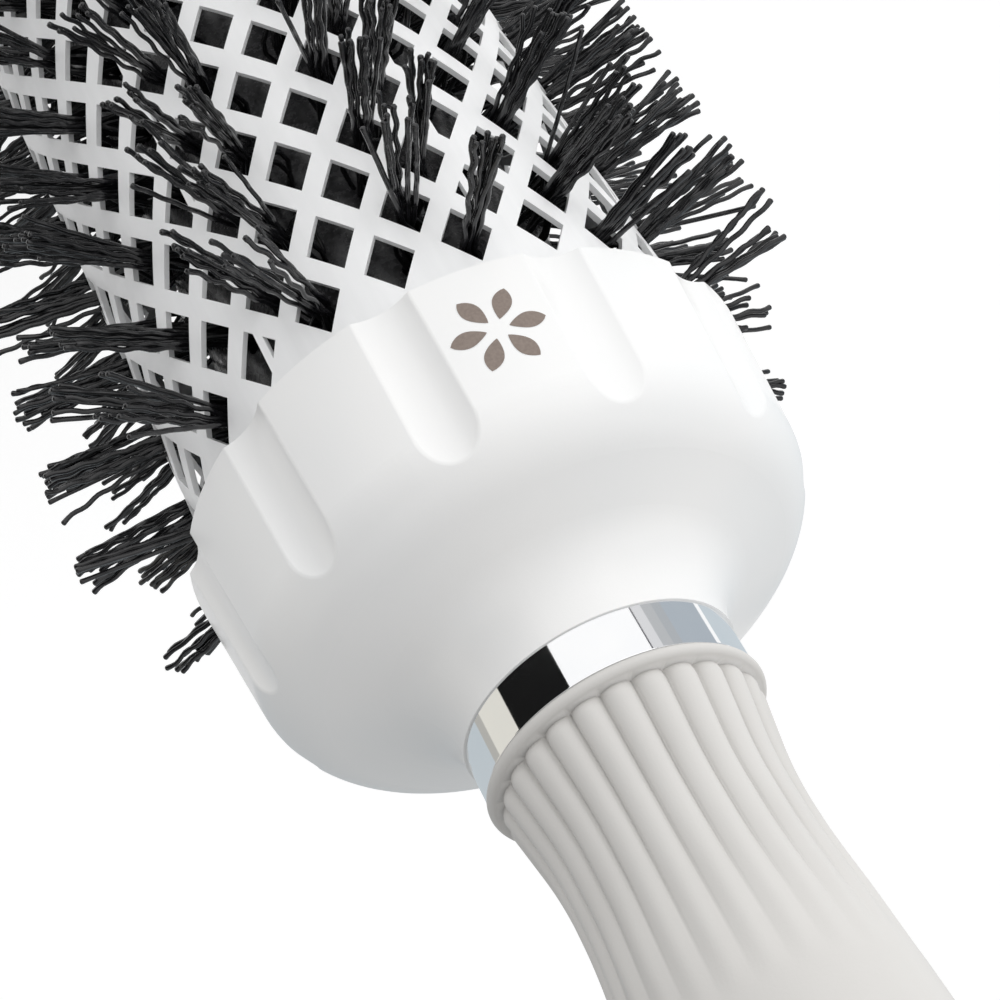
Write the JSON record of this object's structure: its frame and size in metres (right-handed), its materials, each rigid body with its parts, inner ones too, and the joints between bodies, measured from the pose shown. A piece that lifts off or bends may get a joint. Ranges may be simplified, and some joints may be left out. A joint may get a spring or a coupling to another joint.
{
  "type": "round barrel brush",
  "caption": "Round styling brush with a vented lattice barrel, rows of crimped bristle tufts, a fluted hub cup, a bright ring and a ribbed grip with a pull-out sectioning pick.",
  "frame": {"origin": "on the barrel's axis, at the flat face of the tip cap", "axes": "+Z along the axis from the tip to the handle's tail; -Y is the front, where the plain land of the hub cup is"},
  "size_m": [0.068, 0.0677, 0.25],
  "materials": {
    "barrel": "satin white moulding",
    "pearl": "pearl white, satin gloss",
    "chrome": "mirror plated",
    "grip": "warm light grey soft-touch",
    "bristle": "black crimped nylon",
    "core": "black moulded nylon",
    "steel": "zinc plated",
    "seal": "matt black",
    "knob": "pearl white, satin gloss"
  },
  "bodies": {
    "brush": {"barrel_shell": "barrel", "tip_cap": "pearl", "tip_screw": "steel", "bristle_core": "core", "hub_cup": "pearl", "hub_insert": "core", "chrome_ring": "chrome", "handle_core": "core", "handle_screw": "steel", "grip_sleeve": "grip", "tail_ring": "pearl", "guide_bush": "core", "o_ring": "seal", "bristle_row_01": "bristle", "bristle_row_02": "bristle", "bristle_row_03": "bristle", "bristle_row_04": "bristle", "bristle_row_05": "bristle", "bristle_row_06": "bristle", "bristle_row_07": "bristle", "bristle_row_08": "bristle", "bristle_row_09": "bristle", "bristle_row_10": "bristle", "bristle_row_11": "bristle"},
    "pick": {"pick_rod": "steel", "pick_stop": "core", "pick_knob": "knob"}
  },
  "joints": [
    {"name": "pick_slide", "type": "slide", "parent": "brush", "child": "pick", "axis": [0, 0, 1], "range_m": [0, 0.045]}
  ]
}
